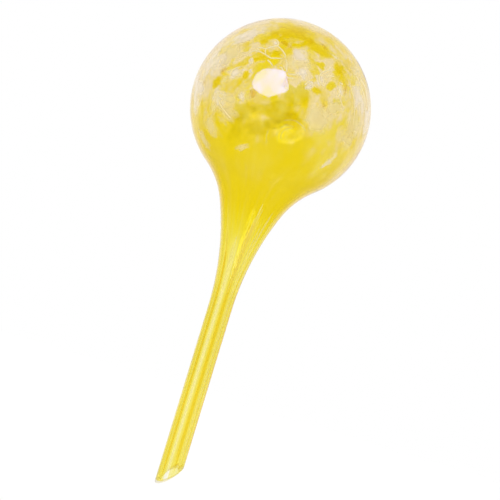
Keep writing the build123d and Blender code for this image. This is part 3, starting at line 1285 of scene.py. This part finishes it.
@dataclass(frozen=True)
class GlintLineLayer(FritLayer):
    """Thin pale lines laid as frit on the front of the ball: painted reflections."""

    paths: tuple[tuple[Pixel, ...], ...]
    ball_depth: float = 0.00062
    width: float = 0.0013
    thickness: float = 0.00016
    rings: int = 26
    around: int = 8
    taper_power: int = 4
    fullest: float = 0.42

    def line(self, path: tuple[Pixel, ...], share: Array) -> Array:
        """Directions from the ball's centre along a path of pixels joined by straight runs.

        Args:
            path: Pixels of the path.
            share: Shares of its length.

        Returns:
            One unit direction for each share.
        """
        corners = np.array([PHOTO.front(*pixel) for pixel in path])
        runs = np.linalg.norm(np.diff(corners, axis=0), axis=1)
        knots = np.concatenate([[0.0], np.cumsum(runs)]) / runs.sum()
        line = np.stack([np.interp(share, knots, corner) for corner in corners.T], axis=-1)
        return unit(line)

    def build(self) -> None:
        """Makes the painted reflection lines and dresses them.

        A line's middle is its path, laid on the coat. Across it is an ellipse, tapered
        to both ends. Its colour is fullest * sin(a) ** 2 full, where a is the angle round
        it, so its sides are soft.
        """
        share = np.linspace(0.0, 1.0, self.rings + 2)
        towards = np.array([self.line(path, share) for path in self.paths])
        sideways = np.cross(towards, unit(np.gradient(towards, axis=1)))
        middle = self.form.centre + towards * (self.form.globe_radius - self.ball_depth)
        taper = tapered(share, self.taper_power)[:, None]
        ring = circle(self.around)
        across = (self.width / 2 * taper * np.cos(ring))[..., None]
        out = (self.thickness / 2 * taper * np.sin(ring))[..., None]
        points = middle[:, :, None] + across * sideways[:, :, None] + out * towards[:, :, None]
        self.make(points[:, 1:-1], points[:, [0, -1], 0], self.fullest * np.sin(ring) ** 2)


@dataclass(frozen=True)
class Softbox:
    """A softbox that only the glass shows, with an outline of straight edges.

    Each edge is an angle and the distance from the middle, and light fades over soft
    widths inside it.
    """

    name: str
    way: Point
    height: float
    distance: float
    width: float
    power: float
    colour: Colour
    edges: tuple[tuple[float, float], ...]
    soft: float
    through_share: float
    through_shrink: float = 1.0

    def shape(self, graph: NodeGraph) -> None:
        """Gives the lamp its outline.

        It shines with full strength in direct reflections and with through_share of it
        through the glass, where its outline is also shrunk by through_shrink.

        Args:
            graph: Nodes of the lamp.
        """
        through = graph.add("LightPath").outputs["Is Transmission Ray"]
        level = graph.ramp(through, 0.0, 1.0, 1.0, self.through_share)
        shrink = graph.ramp(through, 0.0, 1.0, 1.0, self.through_shrink)
        centred = graph.vector("SUBTRACT", graph.add("NewGeometry").outputs["Parametric"], (0.5, 0.5, 0.0))
        place = graph.scaled(centred, shrink)
        for angle, reach in self.edges:
            turn, rim = np.radians(angle), reach / self.width
            along = graph.measure("DOT_PRODUCT", place, (np.cos(turn), np.sin(turn), 0.0))
            level = graph.times(level, graph.ramp(along, rim - self.soft, rim, 1.0, 0.0))
        graph.put(graph.nodes["Emission"].inputs["Strength"], level)

    def build(self) -> None:
        """Hangs the softbox."""
        lamp = bpy.data.lights.new(self.name, "AREA")
        lamp.shape = "RECTANGLE"
        lamp.size = lamp.size_y = self.width
        lamp.energy = self.power
        lamp.color = self.colour
        lamp.use_nodes = True
        self.shape(NodeGraph(lamp.node_tree))
        softbox = placed(self.name, lamp)
        way = Vector(self.way).normalized()
        softbox.location = Vector((0.0, 0.0, self.height)) + way * self.distance
        softbox.rotation_euler = way.to_track_quat("Z", "Y").to_euler()
        softbox.visible_camera = False
        softbox.visible_diffuse = False


MAIN_SOFTBOX = Softbox(
    "main_softbox", way=(-0.374, -0.848, 0.376), height=0.195, distance=0.9, width=0.80, power=31.0,
    colour=(0.15, 0.22, 0.78), soft=0.03, through_share=0.04, through_shrink=1.9,
    edges=((38, 0.37), (97, 0.335), (115, 0.31), (141, 0.32), (170, 0.33),
           (214, 0.325), (250, 0.275), (268, 0.27), (307, 0.285)),
)
STEM_SOFTBOX = Softbox(
    "stem_softbox", way=(-0.469, -0.883, 0.0), height=0.03, distance=0.45, width=0.26, power=0.22,
    colour=(1.0, 0.88, 0.15), soft=0.28, through_share=0.0,
    edges=((0, 0.12), (90, 0.088), (180, 0.12), (270, 0.088)),
)


@dataclass(frozen=True)
class Studio:
    """Plain soft light, a white backdrop, a pale floor and the camera of the photograph.

    The sides of world and floor that the camera's side of the glass mirrors are dim.
    """

    sensor: float = 36.0
    bent_share: float = 0.10
    sky_band: Band = (0.1, 0.9)
    sky_dim: float = 0.08
    floor_drop: float = 0.06
    floor_size: float = 3.0
    floor_colour: Colour = (0.96, 0.96, 0.96)
    floor_dim: Colour = (0.16, 0.16, 0.16)
    floor_band: Band = (0.8, 0.1)
    floor_lift: float = 0.06
    bounces: int = 32
    glass_bounces: int = 24

    def build_camera(self) -> None:
        """Level camera, rolled so that the stem leans as in the photograph."""
        lens = bpy.data.cameras.new("camera")
        lens.sensor_width = self.sensor
        lens.lens = self.sensor * PHOTO.distance / PHOTO.view_width
        camera = placed("camera", lens)
        right, up = (Vector(side) for side in PHOTO.sides)
        back = right.cross(up)
        turn = Matrix((right, up, back)).transposed().to_4x4()
        camera.matrix_world = Matrix.Translation(Vector(PHOTO.aim) + back * PHOTO.distance) @ turn
        bpy.context.scene.camera = camera

    def build_world(self) -> None:
        """White round the object, dimmer in the reflections of the camera's side."""
        world = bpy.data.worlds.new("studio")
        world.use_nodes = True
        graph = NodeGraph(world.node_tree)
        side = graph.add("SeparateXYZ", Vector=graph.add("TexCoord").outputs["Generated"]).outputs["Y"]
        path = graph.add("LightPath").outputs
        share = graph.ramp(path["Is Transmission Ray"], 0.0, 1.0, 1.0, self.bent_share)
        level = graph.add("Mix")
        graph.put(level.inputs[0], graph.times(path["Is Glossy Ray"], share))
        graph.put(level.inputs[2], 1.0)
        graph.put(level.inputs[3], graph.ease(side, *self.sky_band, self.sky_dim, 1.0))
        sky = graph.nodes["Background"].inputs
        graph.put(sky["Color"], ALL_LIGHT)
        graph.put(sky["Strength"], level.outputs[0])
        bpy.context.scene.world = world

    def build_floor(self) -> None:
        """Pale floor below the stem's end."""
        half, low = self.floor_size / 2, -self.floor_drop
        mesh = bpy.data.meshes.new("floor")
        corners = [(-half, -half, low), (half, -half, low), (half, half, low), (-half, half, low)]
        mesh.from_pydata(corners, [], [(0, 1, 2, 3)])
        floor = placed("floor", mesh)
        recipe = Recipe("pale_floor")
        path = recipe.add("LightPath").outputs
        direct = recipe.maths("SUBTRACT", 1.0, path["Is Transmission Ray"])
        mirrored = recipe.times(path["Is Glossy Ray"], direct)
        side = recipe.add("SeparateXYZ", Vector=recipe.add("TexCoord").outputs["Object"]).outputs["Y"]
        near = recipe.times(mirrored, recipe.ease(side, *self.floor_band))
        shade = recipe.tint(near, self.floor_colour, self.floor_dim)
        matt = recipe.add("BsdfDiffuse", Color=shade).outputs[0]
        seen = recipe.maths("MAXIMUM", path["Is Camera Ray"], path["Is Transmission Ray"])
        lift = recipe.add("Emission", Strength=recipe.times(seen, self.floor_lift)).outputs[0]
        recipe.finish(recipe.add("AddShader", None, matt, lift).outputs[0], mesh)

    def build(self) -> None:
        """Sets up camera, world, floor, light and the paths through the glass."""
        self.build_camera()
        self.build_world()
        self.build_floor()
        for softbox in (MAIN_SOFTBOX, STEM_SOFTBOX):
            softbox.build()
        scene = bpy.context.scene
        scene.view_settings.view_transform = "Standard"
        scene.cycles.max_bounces = scene.cycles.transparent_max_bounces = self.bounces
        scene.cycles.glossy_bounces = scene.cycles.transmission_bounces = self.glass_bounces
        log.info("studio ready")


def main() -> None:
    """Builds the glass, layer by layer, and the studio round it."""
    logging.basicConfig(level=logging.INFO, format="%(name)s: %(message)s")
    form = GlobeForm()
    back = Scatter()
    white, pale_streaks = ("white_frit", "white_glass"), ("white_streaks", "white_glass")
    cream, golden = ("cream_frit", "cream_glass"), ("golden_frit", "golden_glass")
    parts = (
        GlassWall(form),
        YellowCoat(form),
        ChipLayer(form, "white_chips", *white, Frit.WHITE, WHITE_CHIPS + back.chips(0), seed=11,
                  ball_depth=0.00088),
        ChipLayer(form, "cream_chips", *cream, Frit.CREAM, CREAM_CHIPS + back.chips(1), seed=12,
                  ball_depth=0.00090),
        ChipLayer(form, "golden_chips", *golden, Frit.GOLD, GOLDEN_CHIPS + back.chips(2, size=2.0), seed=13),
        ChipLayer(form, "olive_chips", *golden, Frit.OLIVE, OLIVE_CHIPS, seed=14, ball_depth=0.00130),
        GlintLineLayer(form, "glint_veins", *white, Frit.VEIN, GLINT_VEINS),
        GlintLineLayer(form, "glint_arcs", *cream, Frit.ARC_GLINT, GLINT_ARCS, width=0.00070),
        ThreadLayer(form, "white_threads", *pale_streaks, Frit.PALE_STREAK, WHITE_THREADS),
        ThreadLayer(form, "golden_threads", "golden_streaks", "golden_glass", Frit.GOLDEN_STREAK,
                    GOLDEN_THREADS),
        ChipLayer(form, "beige_chips", *cream, Frit.BEIGE, BEIGE_CHIPS, seed=15, ball_depth=0.00084),
        ThreadLayer(form, "fine_threads", *pale_streaks, Frit.FINE_STREAK, FINE_THREADS,
                    ball_depth=0.00094, stem_depth=0.00100),
        Studio(),
    )
    for part in parts:
        part.build()


if __name__ == "__main__":
    main()
